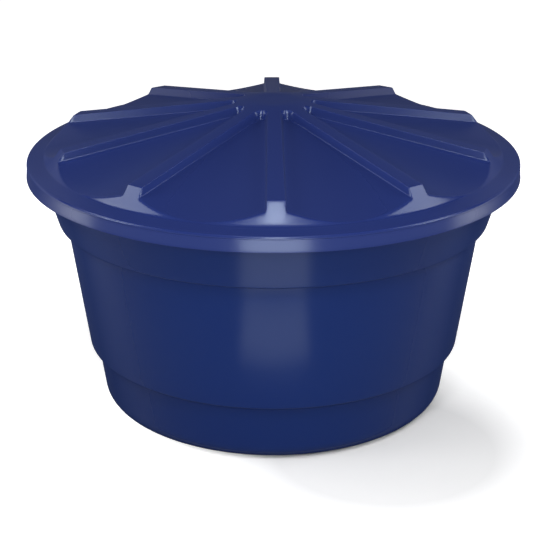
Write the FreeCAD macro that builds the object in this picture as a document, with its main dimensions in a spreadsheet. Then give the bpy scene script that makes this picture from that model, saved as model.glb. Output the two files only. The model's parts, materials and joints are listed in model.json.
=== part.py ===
import FreeCAD, Part
import Sketcher
import os

# Round 1000 litre stock-water tank with a ribbed lift-off lid, float valve, overflow, outlet and drain.
# Millimetres. +Z up, origin at the centre of the base, front towards -Y, every fitting on the +Y side.

DRIVING = [
    # tank: three tapered bands, each standing out from the one below by a step
    ("tank_wall", 5.0, "wall of the tank, square to its surface"),
    ("floor_wall", 6.0, "thickness of the floor"),
    ("base_radius", 572.5, "lower band carried down to the floor plane"),
    ("base_round", 51.0, "outer radius where the wall turns into the floor"),
    ("lower_taper", 0.142, "radius gained per height on the lower band"),
    ("lower_band_height", 195.0, "height of the lower band"),
    ("lower_step_width", 24.21, "width of the step from the lower band to the middle band"),
    ("mid_taper", 0.1424, "radius gained per height on the middle band"),
    ("mid_band_height", 427.4, "height of the middle band"),
    ("upper_step_width", 26.64, "width of the step from the middle band to the upper band"),
    ("upper_taper", 0.297, "radius gained per height on the upper band"),
    ("upper_band_height", 191.2, "from the upper band's foot to the rim's outer edge"),
    ("step_rise", 8.5, "height of each sloping step between bands"),
    ("step_round", 8.0, "outer rounding at the foot of a band"),
    ("crease_round", 4.0, "rounding in the crease above a lower band"),
    # rim
    ("rim_overhang", 27.36, "how far the rim stands out from the wall"),
    ("rim_thickness", 6.0, "thickness of the rim"),
    ("rim_round", 2.0, "rounding of the rim's outer edges"),
    # lid: three cones, each falling outwards by its slope, and a short skirt
    ("seat_gap", 0.3, "running gap between the rim and the lid"),
    ("rim_clearance", 4.3, "between the rim's edge and the inside of the lid"),
    ("lid_wall", 5.0, "wall of the lid"),
    ("flange_slope", 0.219, "fall of the outer flange"),
    ("riser_slope", 1.314, "fall of the riser below each rib end"),
    ("crown_slope", 0.1727, "fall of the ribs from hub to riser"),
    ("flange_width", 56.5, "from the lid's edge in to the riser"),
    ("riser_width", 47.2, "from the riser's foot in to the rib ends"),
    ("hub_flat_radius", 78.0, "flat at the middle of the hub"),
    ("lid_edge_round", 7.0, "rounding of the corner between flange and skirt"),
    ("skirt_drop", 47.7, "height of the skirt"),
    ("skirt_flare", 2.9, "how far the skirt spreads over its height"),
    ("skirt_step", 1.0, "how far the skirt stands in under the rounded edge"),
    # ribs and the recessed panels between them
    ("rib_count", 10, "ribs round the lid"),
    ("rib_axis_half_width", 27.8, "half width of a rib's foot carried in to the axis"),
    ("rib_widening", 0.0022, "half width of the foot gained per radius"),
    ("inner_draft", 16.4, "lean of a panel's walls at its inner end, degrees"),
    ("outer_draft", 2.1, "lean of a panel's side walls at its outer end, degrees"),
    ("panel_depth", 27.3, "depth of a panel's edge below the ribs, carried in to the axis"),
    ("foot_slope", 0.1693, "fall of a panel's edge along the ribs"),
    ("panel_inner_half", 11.1, "half width of a panel's floor at its inner end"),
    ("panel_corner", 12.0, "rounding of the panel's inner corners"),
    ("petal_lip", 1.0, "step left where the panel runs out on the flange"),
    # seats for pipe fittings: upright flats moulded into the tapered wall
    ("pad_margin", 8.0, "flat left round a fitting's flange"),
    ("pad_sink", 0.5, "how far a flat lies inside the wall at its foot"),
    ("nut_thread", 1.6, "how far the nut's thread stands out from the pipe's thread"),
    ("thread_runout", 1.0, "end of the nut's thread beyond the nut"),
    ("hole_gap", 0.5, "clearance round a fitting in the wall"),
    ("thread_gap", 0.08, "clearance of a nut or cap on its shank"),
    ("gasket_thickness", 3.0, "rubber gasket under a flange"),
    ("flange_thickness", 6.0, "head of a flanged fitting"),
    ("nut_washer", 3.0, "round washer face moulded on a nut"),
    ("nut_height", 14.0, "whole height of a nut"),
    ("shank_length", 42.0, "fitting outside the wall"),
    ("head_round", 1.5, "rounding of a fitting's head"),
    # inlet with its float valve, 3/4 inch
    ("inlet_azimuth", 90.0, "direction of the inlet"),
    ("inlet_depth", 85.6, "inlet below the rim"),
    ("inlet_shank", 13.2, "outer radius of the 3/4 inch pipe thread"),
    ("inlet_bore", 8.0, "waterway of the inlet"),
    ("inlet_head", 24.0, "radius of the inlet's head"),
    ("inlet_nut_flats", 36.0, "across flats of the inlet's nut"),
    # overflow, 1 1/2 inch
    ("overflow_azimuth", 60.0, "direction of the overflow"),
    ("overflow_depth", 125.6, "overflow below the rim"),
    ("overflow_shank", 23.9, "outer radius of the 1 1/2 inch pipe thread"),
    ("overflow_bore", 19.0, "waterway of the overflow"),
    ("overflow_head", 38.0, "radius of the overflow's head"),
    ("overflow_nut_flats", 66.0, "across flats of the overflow's nut"),
    # outlet, 1 inch
    ("outlet_azimuth", 90.0, "direction of the outlet"),
    ("outlet_rise", 124.0, "outlet above the floor"),
    ("outlet_shank", 16.6, "outer radius of the 1 inch pipe thread"),
    ("outlet_bore", 12.5, "waterway of the outlet"),
    ("outlet_head", 30.0, "radius of the outlet's head"),
    ("outlet_nut_flats", 48.0, "across flats of the outlet's nut"),
    # drain, 1 inch
    ("drain_azimuth", 120.0, "direction of the drain"),
    ("drain_rise", 86.0, "drain above the floor"),
    ("drain_shank", 16.6, "outer radius of the 1 inch pipe thread"),
    ("drain_bore", 12.5, "waterway of the drain"),
    ("drain_head", 30.0, "radius of the drain's head"),
    ("drain_nut_flats", 48.0, "across flats of the drain's nut"),
    ("cap_wall", 4.0, "wall of the drain's cap"),
    ("cap_grip", 22.0, "shank covered by the cap"),
    # float valve
    ("barrel_radius", 15.0, "outer radius of the barrel"),
    ("barrel_length", 80.0, "from the wall's outer face to the barrel's open end"),
    ("nozzle_depth", 30.0, "from the wall's outer face to the nozzle"),
    ("plunger_radius", 10.0, "plunger"),
    ("plunger_length", 32.0, "plunger without its washer"),
    ("plunger_gap", 0.05, "running clearance of the plunger"),
    ("valve_washer", 4.0, "rubber disc that closes the nozzle"),
    ("closed_gap", 0.2, "gap left at the nozzle when closed"),
    ("pivot_drop", 17.0, "pivot below the barrel's axis"),
    ("pivot_depth", 50.0, "pivot behind the wall's outer face"),
    ("pin_radius", 2.0, "pivot pin"),
    ("pin_gap", 0.05, "running clearance on the pin"),
    ("pin_tail", 1.5, "pin beyond the ear, and the thickness of its head"),
    ("pin_head", 3.6, "radius of the pin's head"),
    ("lug_thickness", 4.0, "each ear that carries the pin"),
    ("lug_reach", 10.0, "ear below the pin"),
    ("stop_height", 3.0, "web across the ears' ends that the hanging lever rests on"),
    ("stop_gap", 0.15, "between the hanging lever and that web"),
    ("lug_half_length", 10.0, "half the ear's length along the barrel"),
    ("lever_thickness", 5.0, "lever blade"),
    ("lever_side_gap", 0.5, "between the blade and each ear"),
    ("lever_hub", 5.5, "radius of the lever round its pin"),
    ("lever_tip", 2.5, "round tip that drives the plunger"),
    ("tip_gap", 0.3, "clearance of the tip in its slot"),
    ("finger_half_width", 1.4, "half width of the lever's short finger"),
    ("blade_half_width", 3.5, "half width of the lever's long blade"),
    ("socket_start", 20.0, "lever socket, from the pivot"),
    ("socket_radius", 6.0, "lever socket"),
    ("socket_depth", 20.0, "length of rod held in the lever"),
    ("float_swing", 36.0, "degrees from hanging to closed"),
    ("float_drop", 52.0, "degrees below level when hanging"),
    ("float_reach", 300.0, "pivot to the middle of the float"),
    ("float_radius", 55.0, "float ball"),
    ("float_wall", 1.5, "wall of the hollow float"),
    ("float_neck", 12.0, "neck outside the ball"),
    ("neck_radius", 9.0, "neck"),
    ("neck_grip", 22.0, "length of rod held in the neck"),
    ("rod_radius", 3.0, "brass rod"),
    ("rod_gap", 0.05, "clearance on the rod"),
    ("rod_nut_flats", 12.0, "lock nut on the rod"),
    ("rod_nut_height", 7.0, "lock nut on the rod"),
]

PIPE_SEATS = ("inlet", "overflow", "outlet", "drain")
UPPER_BAND_SEATS = ("inlet", "overflow")


def worked_sizes():
    """Formulas that follow from the driving sizes.

    A cone is written z = top - slope * r, and a tapered wall r = foot + taper * z.
    """
    rows = [
        # tank bands outside, from the floor up
        ("lower_top_radius", "Dims.base_radius + Dims.lower_taper * Dims.lower_band_height"),
        ("mid_foot_radius", "lower_top_radius + Dims.lower_step_width"),
        ("mid_foot_height", "Dims.lower_band_height + Dims.step_rise"),
        ("mid_top_height", "mid_foot_height + Dims.mid_band_height"),
        ("mid_top_radius", "mid_foot_radius + Dims.mid_taper * Dims.mid_band_height"),
        ("upper_foot_radius", "mid_top_radius + Dims.upper_step_width"),
        ("upper_foot_height", "mid_top_height + Dims.step_rise"),
        ("rim_height", "upper_foot_height + Dims.upper_band_height"),
        ("mid_origin", "mid_foot_radius - Dims.mid_taper * mid_foot_height"),
        ("upper_origin", "upper_foot_radius - Dims.upper_taper * upper_foot_height"),
        ("wall_at_rim", "upper_origin + Dims.upper_taper * (rim_height"
                        " + Dims.flange_slope * Dims.rim_overhang"
                        " - Dims.rim_thickness * sqrt(1 + Dims.flange_slope ^ 2))"),
        ("rim_radius", "wall_at_rim + Dims.rim_overhang"),
        # lid cones, outside and inside, from the rim that carries the flange
        ("lid_edge_radius", "rim_radius + Dims.rim_clearance + Dims.lid_wall"),
        ("riser_foot_radius", "lid_edge_radius - Dims.flange_width"),
        ("rib_end_radius", "riser_foot_radius - Dims.riser_width"),
        ("rim_top", "rim_height + Dims.flange_slope * rim_radius"),
        ("rim_under", "rim_top - Dims.rim_thickness * sqrt(1 + Dims.flange_slope ^ 2)"),
        ("flange_in_top", "rim_top + Dims.seat_gap * sqrt(1 + Dims.flange_slope ^ 2)"),
        ("flange_top", "flange_in_top + Dims.lid_wall * sqrt(1 + Dims.flange_slope ^ 2)"),
        ("riser_top", "flange_top + (Dims.riser_slope - Dims.flange_slope) * riser_foot_radius"),
        ("crown_top", "riser_top - (Dims.riser_slope - Dims.crown_slope) * rib_end_radius"),
        ("riser_in_top", "riser_top - Dims.lid_wall * sqrt(1 + Dims.riser_slope ^ 2)"),
        ("crown_in_top", "crown_top - Dims.lid_wall * sqrt(1 + Dims.crown_slope ^ 2)"),
        ("riser_foot_height", "flange_top - Dims.flange_slope * riser_foot_radius"),
        ("rib_end_height", "crown_top - Dims.crown_slope * rib_end_radius"),
        ("hub_height", "crown_top - Dims.crown_slope * Dims.hub_flat_radius"),
        ("riser_in_foot", "(riser_in_top - flange_in_top) / (Dims.riser_slope - Dims.flange_slope)"),
        ("rib_in_end", "(riser_in_top - crown_in_top) / (Dims.riser_slope - Dims.crown_slope)"),
        ("hub_in_flat", "(crown_in_top - hub_height + Dims.lid_wall) / Dims.crown_slope"),
        ("lid_edge_height", "flange_top - Dims.flange_slope * lid_edge_radius"),
        ("edge_foot_height", "lid_edge_height - Dims.lid_edge_round - Dims.skirt_step"),
        ("skirt_radius", "lid_edge_radius + Dims.skirt_flare"),
        ("skirt_height", "lid_edge_height - Dims.skirt_drop"),
        # panels: the side walls meet at an apex near the axis, the valley line ends on the riser's foot
        ("half_sector", "180 / Dims.rib_count"),
        ("wall_angle", "half_sector * 1 deg - atan(Dims.rib_widening)"),
        ("panel_apex", "Dims.rib_axis_half_width"
                       " * (sin(half_sector) + cos(half_sector) / tan(wall_angle))"),
        ("apex_height", "crown_top - Dims.panel_depth - Dims.foot_slope * panel_apex"),
        ("valley_slope", "(apex_height - riser_foot_height - Dims.petal_lip)"
                         " / (riser_foot_radius - panel_apex)"),
        ("panel_start", "panel_apex + Dims.panel_inner_half / tan(wall_angle)"),
        ("panel_end", "riser_foot_radius + (lid_edge_radius - riser_foot_radius) / 3"),
        # tank walls inside
        ("lower_in", "Dims.base_radius - Dims.tank_wall * sqrt(1 + Dims.lower_taper ^ 2)"),
        ("mid_in", "mid_origin - Dims.tank_wall * sqrt(1 + Dims.mid_taper ^ 2)"),
        ("upper_in", "upper_origin - Dims.tank_wall * sqrt(1 + Dims.upper_taper ^ 2)"),
        ("lower_pitch", "Dims.step_rise / Dims.lower_step_width"),
        ("upper_pitch", "Dims.step_rise / Dims.upper_step_width"),
        ("lower_step_in", "Dims.lower_band_height - lower_pitch * lower_top_radius"
                          " + Dims.tank_wall * sqrt(1 + lower_pitch ^ 2)"),
        ("upper_step_in", "mid_top_height - upper_pitch * mid_top_radius"
                          " + Dims.tank_wall * sqrt(1 + upper_pitch ^ 2)"),
        ("lower_in_height", "(lower_step_in + lower_pitch * lower_in)"
                            " / (1 - lower_pitch * Dims.lower_taper)"),
        ("mid_in_foot", "(lower_step_in + lower_pitch * mid_in) / (1 - lower_pitch * Dims.mid_taper)"),
        ("mid_in_height", "(upper_step_in + upper_pitch * mid_in) / (1 - upper_pitch * Dims.mid_taper)"),
        ("upper_in_foot", "(upper_step_in + upper_pitch * upper_in)"
                          " / (1 - upper_pitch * Dims.upper_taper)"),
        # pipe fittings
        ("inlet_height", "rim_height - Dims.inlet_depth"),
        ("overflow_height", "rim_height - Dims.overflow_depth"),
        ("outlet_height", "Dims.floor_wall + Dims.outlet_rise"),
        ("drain_height", "Dims.floor_wall + Dims.drain_rise"),
        ("thread_end", "Dims.gasket_thickness + Dims.nut_height + Dims.thread_runout"),
        # float valve
        ("valve_travel", "2 * Dims.pivot_drop * sin(Dims.float_swing / 2)"),
        ("washer_front", "-Dims.nozzle_depth - Dims.closed_gap - valve_travel"),
        ("plunger_front", "washer_front - Dims.valve_washer"),
        ("tip_depth", "-Dims.pivot_depth - valve_travel / 2"),
        ("finger_angle", "Dims.float_drop + 90 - Dims.float_swing / 2"),
        ("slot_half_width", "Dims.lever_thickness / 2 + Dims.lever_side_gap"),
        ("stop_drop", "Dims.lug_reach - Dims.stop_height"),
        ("stop_depth", "Dims.blade_half_width * sin(Dims.float_drop) + Dims.stop_gap"
                       " - (stop_drop - Dims.blade_half_width * cos(Dims.float_drop))"
                       " / tan(Dims.float_drop)"),
        ("neck_start", "Dims.float_reach - Dims.float_radius - Dims.float_neck"),
    ]
    for seat in PIPE_SEATS:
        band = "upper" if seat in UPPER_BAND_SEATS else "lower"
        foot = "upper_origin" if band == "upper" else "Dims.base_radius"
        rows.append((f"{seat}_thread", f"Dims.{seat}_shank + Dims.nut_thread"))
        rows.append((f"{seat}_pad", f"Dims.{seat}_head + Dims.pad_margin"))
        rows.append((f"{seat}_pad_foot", f"{foot} + Dims.{band}_taper * ({seat}_height - {seat}_pad)"))
        rows.append((f"{seat}_flat", f"sqrt({seat}_pad_foot ^ 2 - {seat}_pad ^ 2) - Dims.pad_sink"))
    return rows


doc = FreeCAD.newDocument("water_tank")
dims = doc.addObject("Spreadsheet::Sheet", "Dims")
for row, (name, size, meaning) in enumerate(DRIVING, 1):
    dims.set(f"A{row}", name)
    dims.set(f"B{row}", str(size))
    dims.set(f"C{row}", meaning)
    dims.setAlias(f"B{row}", name)
doc.recompute()
worked = doc.addObject("Spreadsheet::Sheet", "Worked")
for row, (name, formula) in enumerate(worked_sizes(), 1):
    worked.set(f"A{row}", name)
    worked.set(f"B{row}", "=" + formula)
    worked.setAlias(f"B{row}", name)
    doc.recompute()

SUBPARTS = []


def named(obj, label):
    """Marks an object as a finished sub-part and gives it the name of its file."""
    obj.Label = label
    SUBPARTS.append(obj)
    return obj


def sketch_on(body, name, role, offset=None):
    """A sketch on one of the body's own origin planes, moved by a placement formula when one is given."""
    sketch = body.newObject("Sketcher::SketchObject", name)
    plane = next(p for p in body.Origin.OriginFeatures if p.Role == role)
    sketch.AttachmentSupport = (plane, "")
    sketch.MapMode = "FlatFace"
    if offset:
        sketch.setExpression("AttachmentOffset", offset)
    return sketch


def bind(sketch, kind, geometry, point, formula):
    """Dimensions one vertex from the sketch's origin, by a formula over the sheets."""
    size = sketch.evalExpression(formula)
    if abs(size) < 1e-9:
        axis = -2 if kind == "DistanceX" else -1
        sketch.addConstraint(Sketcher.Constraint("PointOnObject", geometry, point, axis))
        return
    index = sketch.addConstraint(Sketcher.Constraint(kind, -1, 1, geometry, point, size))
    sketch.setExpression(f"Constraints[{index}]", formula)


def outline(sketch, corners):
    """A closed outline of straight lines whose corners are pairs of formulas."""
    points = [FreeCAD.Vector(sketch.evalExpression(x), sketch.evalExpression(y), 0) for x, y in corners]
    first = sketch.GeometryCount
    count = len(points)
    for i in range(count):
        sketch.addGeometry(Part.LineSegment(points[i], points[(i + 1) % count]), False)
    for i in range(count):
        sketch.addConstraint(Sketcher.Constraint("Coincident", first + i, 2, first + (i + 1) % count, 1))
        bind(sketch, "DistanceX", first + i, 1, corners[i][0])
        bind(sketch, "DistanceY", first + i, 1, corners[i][1])


def circle(sketch, x, y, radius):
    """A circle whose centre and radius are formulas."""
    middle = FreeCAD.Vector(sketch.evalExpression(x), sketch.evalExpression(y), 0)
    size = sketch.evalExpression(radius)
    ring = sketch.addGeometry(Part.Circle(middle, FreeCAD.Vector(0, 0, 1), size), False)
    index = sketch.addConstraint(Sketcher.Constraint("Radius", ring, size))
    sketch.setExpression(f"Constraints[{index}]", radius)
    bind(sketch, "DistanceX", ring, 3, x)
    bind(sketch, "DistanceY", ring, 3, y)


def new_body(name, placement=None):
    body = doc.addObject("PartDesign::Body", name)
    if placement:
        body.setExpression("Placement", placement)
    return body


def revolve(body, name, corners):
    """Turns an outline of (radius, height) formulas about the body's Z axis."""
    sketch = sketch_on(body, name + "_outline", "XZ_Plane")
    outline(sketch, corners)
    turn = body.newObject("PartDesign::Revolution", name)
    turn.Profile = sketch
    turn.ReferenceAxis = (sketch, ["V_Axis"])
    turn.Angle = 360
    doc.recompute()
    return turn


def both_ways(body, kind, name, sketch, thickness):
    """A pad or pocket that reaches half its thickness to each side of its sketch."""
    feature = body.newObject(kind, name)
    feature.Profile = sketch
    feature.SideType = "Symmetric"
    feature.setExpression("Length", thickness)
    doc.recompute()
    return feature


def round_edges(body, name, base, radius, wanted):
    """Fillets the edges of the last feature that the test accepts."""
    edges = [f"Edge{i}" for i, edge in enumerate(base.Shape.Edges, 1) if wanted(edge)]
    fillet = body.newObject("PartDesign::Fillet", name)
    fillet.Base = (base, edges)
    fillet.setExpression("Radius", radius)
    doc.recompute()
    return fillet


def ring_at(radius, height):
    """A test for the circular edge about the Z axis at the radius and height that the formulas give."""
    def wanted(edge):
        if not isinstance(edge.Curve, Part.Circle):
            return False
        off_radius = abs(edge.Curve.Radius - worked.evalExpression(radius))
        off_height = abs(edge.Curve.Center.z - worked.evalExpression(height))
        return off_radius < 0.01 and off_height < 0.01
    return wanted


def raised(height):
    """A shift along Z by a formula."""
    return f"placement(vector(0; 0; {height}); rotation(vector(0; 0; 1); 0))"


def seat_placement(seat):
    """Carries a fitting's own frame, Z out through the wall and X down, to its flat on the tank."""
    azimuth = f"Dims.{seat}_azimuth"
    flat = f"Worked.{seat}_flat"
    spot = f"vector({flat} * cos({azimuth}); {flat} * sin({azimuth}); Worked.{seat}_height)"
    turn = f"rotation(vector(0; 0; 1); {azimuth}) * rotation(vector(0; 1; 0); 90)"
    return f"placement({spot}; {turn})"


# ---------------------------------------------------------------- tank

def tank_form():
    """The tank's outside as a solid plug with its rim, before it is hollowed."""
    body = new_body("tank_form")
    turn = revolve(body, "tank_outside", [
        ("0", "0"),
        ("Dims.base_radius", "0"),
        ("Worked.lower_top_radius", "Dims.lower_band_height"),
        ("Worked.mid_foot_radius", "Worked.mid_foot_height"),
        ("Worked.mid_top_radius", "Worked.mid_top_height"),
        ("Worked.upper_foot_radius", "Worked.upper_foot_height"),
        ("Worked.wall_at_rim", "Worked.rim_under - Dims.flange_slope * Worked.wall_at_rim"),
        ("Worked.rim_radius", "Worked.rim_under - Dims.flange_slope * Worked.rim_radius"),
        ("Worked.rim_radius", "Worked.rim_height"),
        ("0", "Worked.rim_top"),
    ])
    last = round_edges(body, "base_rounding", turn, "Dims.base_round", ring_at("Dims.base_radius", "0"))
    for name, radius, height, size in (
        ("mid_foot_rounding", "Worked.mid_foot_radius", "Worked.mid_foot_height", "Dims.step_round"),
        ("upper_foot_rounding", "Worked.upper_foot_radius", "Worked.upper_foot_height", "Dims.step_round"),
        ("lower_crease", "Worked.lower_top_radius", "Dims.lower_band_height", "Dims.crease_round"),
        ("upper_crease", "Worked.mid_top_radius", "Worked.mid_top_height", "Dims.crease_round"),
        ("rim_rounding", "Worked.rim_radius", "Worked.rim_height", "Dims.rim_round"),
    ):
        last = round_edges(body, name, last, size, ring_at(radius, height))
    for seat in PIPE_SEATS:
        sink_flat(body, seat, "0")
    return body


def tank_void():
    """The space inside the tank, open at the top: the outside moved inwards by the wall."""
    body = new_body("tank_void")
    above = "Worked.rim_top + Dims.rim_thickness"
    turn = revolve(body, "tank_inside", [
        ("0", "Dims.floor_wall"),
        ("Worked.lower_in + Dims.lower_taper * Dims.floor_wall", "Dims.floor_wall"),
        ("Worked.lower_in + Dims.lower_taper * Worked.lower_in_height", "Worked.lower_in_height"),
        ("Worked.mid_in + Dims.mid_taper * Worked.mid_in_foot", "Worked.mid_in_foot"),
        ("Worked.mid_in + Dims.mid_taper * Worked.mid_in_height", "Worked.mid_in_height"),
        ("Worked.upper_in + Dims.upper_taper * Worked.upper_in_foot", "Worked.upper_in_foot"),
        (f"Worked.upper_in + Dims.upper_taper * ({above})", above),
        ("0", above),
    ])
    floor_ring = ring_at("Worked.lower_in + Dims.lower_taper * Dims.floor_wall", "Dims.floor_wall")
    last = round_edges(body, "floor_rounding", turn, "Dims.base_round - Dims.tank_wall", floor_ring)
    foot_round = "Dims.step_round - Dims.tank_wall"
    crease_round = "Dims.crease_round + Dims.tank_wall"
    for name, line, taper, height, size in (
        ("mid_in_rounding", "mid_in", "mid_taper", "mid_in_foot", foot_round),
        ("upper_in_rounding", "upper_in", "upper_taper", "upper_in_foot", foot_round),
        ("lower_in_crease", "lower_in", "lower_taper", "lower_in_height", crease_round),
        ("mid_in_crease", "mid_in", "mid_taper", "mid_in_height", crease_round),
    ):
        ring = ring_at(f"Worked.{line} + Dims.{taper} * Worked.{height}", f"Worked.{height}")
        last = round_edges(body, name, last, size, ring)
    for seat in PIPE_SEATS:
        sink_flat(body, seat, "Dims.tank_wall")
    return body


def sink_flat(body, seat, inset):
    """Cuts the upright flat for a fitting, or the same flat moved inwards by the wall."""
    foot = f"Worked.{seat}_height - Worked.{seat}_pad - {inset}"
    offset = f"placement(vector(0; 0; {foot}); rotation(vector(0; 0; 1); Dims.{seat}_azimuth))"
    sketch = sketch_on(body, f"{seat}_flat_plan", "XY_Plane", offset)
    near = f"Worked.{seat}_flat - {inset}"
    side = f"Worked.{seat}_pad + {inset}"
    outline(sketch, [
        (near, f"-({side})"),
        ("Worked.rim_radius", f"-({side})"),
        ("Worked.rim_radius", side),
        (near, side),
    ])
    flat = body.newObject("PartDesign::Pocket", f"{seat}_flat")
    flat.Profile = sketch
    flat.Reversed = True
    flat.setExpression("Length", f"2 * ({side})")
    doc.recompute()


def build_tank():
    """Outside minus inside, then a hole through each flat."""
    shell = doc.addObject("Part::Cut", "tank_hollow")
    shell.Base = tank_form()
    shell.Tool = tank_void()
    drills = []
    for seat in PIPE_SEATS:
        drill = doc.addObject("Part::Cylinder", f"{seat}_drill")
        drill.setExpression("Radius", f"Worked.{seat}_thread + Dims.hole_gap")
        drill.setExpression("Height", "4 * Dims.tank_wall")
        drill.setExpression("Placement", f"{seat_placement(seat)} * {raised('-2 * Dims.tank_wall')}")
        drills.append(drill)
    holes = doc.addObject("Part::MultiFuse", "pipe_holes")
    holes.Shapes = drills
    tank = doc.addObject("Part::Cut", "tank")
    tank.Base = shell
    tank.Tool = holes
    named(tank, "tank_shell")


# ---------------------------------------------------------------- lid

def panel_section(body, name, distance, inset, lean, draft):
    """One section of a panel's cutter: leaning side walls and an arched valley floor.

    At a distance x from the axis the floor's edge is (x - apex) * tan(wall angle) to each side, at the
    rib's foot, and its middle lies on the valley line. From there the section leans back towards the hub,
    its side walls spread by their draft, and an inset moves walls and floor outwards by the lid's wall.
    """
    half = f"(({distance} - Worked.panel_apex) * tan(Worked.wall_angle))"
    foot = f"(Worked.crown_top - Dims.panel_depth - Dims.foot_slope * sqrt({distance} ^ 2 + {half} ^ 2))"
    valley = f"(Worked.apex_height - Worked.valley_slope * ({distance} - Worked.panel_apex))"
    wide = f"({half} + {inset} / cos(Worked.wall_angle))"
    sag = f"(({foot} - {valley}) * ({wide} / {half}) ^ 2)"
    low = f"({valley} - {inset} * sqrt(1 + Worked.valley_slope ^ 2))"
    rise = f"(Worked.hub_height + Dims.panel_depth - {low})"
    narrowing = f"({rise} * tan({lean}) * tan(Worked.wall_angle))"
    edge = f"({sag} / cos({lean}))"
    top = f"({rise} / cos({lean}))"
    top_half = f"({wide} - {narrowing} + ({rise} - {sag}) * tan({draft}))"
    offset = f"placement(vector(0; {low}; {distance}); rotation(vector(1; 0; 0); -({lean})))"
    sketch = sketch_on(body, name, "YZ_Plane", offset)
    corners = [(wide, edge), (top_half, top), (f"-{top_half}", top), (f"-{wide}", edge)]
    points = [FreeCAD.Vector(sketch.evalExpression(x), sketch.evalExpression(y), 0) for x, y in corners]
    for start, end in zip(points[:-1], points[1:]):
        sketch.addGeometry(Part.LineSegment(start, end), False)
    sketch.addGeometry(Part.Arc(points[3], FreeCAD.Vector(0, 0, 0), points[0]), False)
    for i in range(3):
        sketch.addConstraint(Sketcher.Constraint("Coincident", i, 2, (i + 1) % 4, 1))
        bind(sketch, "DistanceX", i, 1, corners[i][0])
        bind(sketch, "DistanceY", i, 1, corners[i][1])
    bind(sketch, "DistanceX", 2, 2, corners[3][0])
    bind(sketch, "DistanceY", 2, 2, corners[3][1])
    sketch.addConstraint(Sketcher.Constraint("Coincident", 3, 2, 0, 1))
    bow = f"({wide} ^ 2 + {edge} ^ 2) / (2 * {edge})"
    index = sketch.addConstraint(Sketcher.Constraint("Radius", 3, sketch.evalExpression(bow)))
    sketch.setExpression(f"Constraints[{index}]", bow)
    return sketch


def sink_panels(body, inset):
    """Cuts one panel between two ribs, repeats it round the lid and rounds the inner corners."""
    start = f"(Worked.panel_start - {inset} / cos(Dims.inner_draft))"
    near = panel_section(body, "panel_inner_end", start, inset, "Dims.inner_draft", "Dims.inner_draft")
    far = panel_section(body, "panel_outer_end", "Worked.panel_end", inset, "0", "Dims.outer_draft")
    panel = body.newObject("PartDesign::SubtractiveLoft", "panel")
    panel.Profile = near
    panel.Sections = [far]
    panel.Ruled = True
    doc.recompute()
    axis = next(a for a in body.Origin.OriginFeatures if a.Role == "Z_Axis")
    around = body.newObject("PartDesign::PolarPattern", "panels")
    around.Originals = [panel]
    around.Axis = (axis, [""])
    around.Angle = 360
    around.setExpression("Occurrences", "Dims.rib_count")
    body.Tip = around
    doc.recompute()
    reach = worked.evalExpression(f"{start} / cos(Worked.half_sector)")

    def inner_corner(edge):
        middle = edge.CenterOfMass
        upright = edge.BoundBox.ZLength > 0.8 * edge.Length
        return upright and (middle.x ** 2 + middle.y ** 2) ** 0.5 < reach
    round_edges(body, "panel_corners", around, f"Dims.panel_corner + {inset}", inner_corner)


def lid_form():
    """The lid's outside as a solid: hub and rib tops, riser, flange and skirt, with the panels sunk in."""
    body = new_body("lid_form")
    turn = revolve(body, "lid_outside", [
        ("0", "Worked.skirt_height"),
        ("Worked.skirt_radius", "Worked.skirt_height"),
        ("Worked.lid_edge_radius - Dims.skirt_step", "Worked.edge_foot_height - Dims.skirt_step"),
        ("Worked.lid_edge_radius", "Worked.edge_foot_height"),
        ("Worked.lid_edge_radius", "Worked.lid_edge_height"),
        ("Worked.riser_foot_radius", "Worked.riser_foot_height"),
        ("Worked.rib_end_radius", "Worked.rib_end_height"),
        ("Dims.hub_flat_radius", "Worked.hub_height"),
        ("0", "Worked.hub_height"),
    ])
    edge = ring_at("Worked.lid_edge_radius", "Worked.lid_edge_height")
    round_edges(body, "lid_edge", turn, "Dims.lid_edge_round", edge)
    sink_panels(body, "0")
    return body


def lid_void():
    """The space under the lid: the outside moved inwards by the wall, so the ribs are hollow below."""
    body = new_body("lid_void")
    below = "Worked.skirt_height - Dims.lid_wall"
    inner_edge = "Worked.lid_edge_radius - Dims.lid_wall"
    revolve(body, "lid_inside", [
        ("0", below),
        ("Worked.skirt_radius - Dims.lid_wall", below),
        ("Worked.skirt_radius - Dims.lid_wall", "Worked.skirt_height"),
        (inner_edge, f"Worked.flange_in_top - Dims.flange_slope * ({inner_edge})"),
        ("Worked.riser_in_foot", "Worked.flange_in_top - Dims.flange_slope * Worked.riser_in_foot"),
        ("Worked.rib_in_end", "Worked.crown_in_top - Dims.crown_slope * Worked.rib_in_end"),
        ("Worked.hub_in_flat", "Worked.hub_height - Dims.lid_wall"),
        ("0", "Worked.hub_height - Dims.lid_wall"),
    ])
    sink_panels(body, "Dims.lid_wall")
    return body


def build_lid():
    lid = doc.addObject("Part::Cut", "lid")
    lid.Base = lid_form()
    lid.Tool = lid_void()
    named(lid, "lid_shell")


# ---------------------------------------------------------------- pipe fittings

def hexagon(sketch, flats):
    """A regular hexagon by its size across flats."""
    corner = f"({flats}) / 2 / cos(30)"
    outline(sketch, [(f"{corner} * cos({60 * k})", f"{corner} * sin({60 * k})") for k in range(6)])


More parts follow.
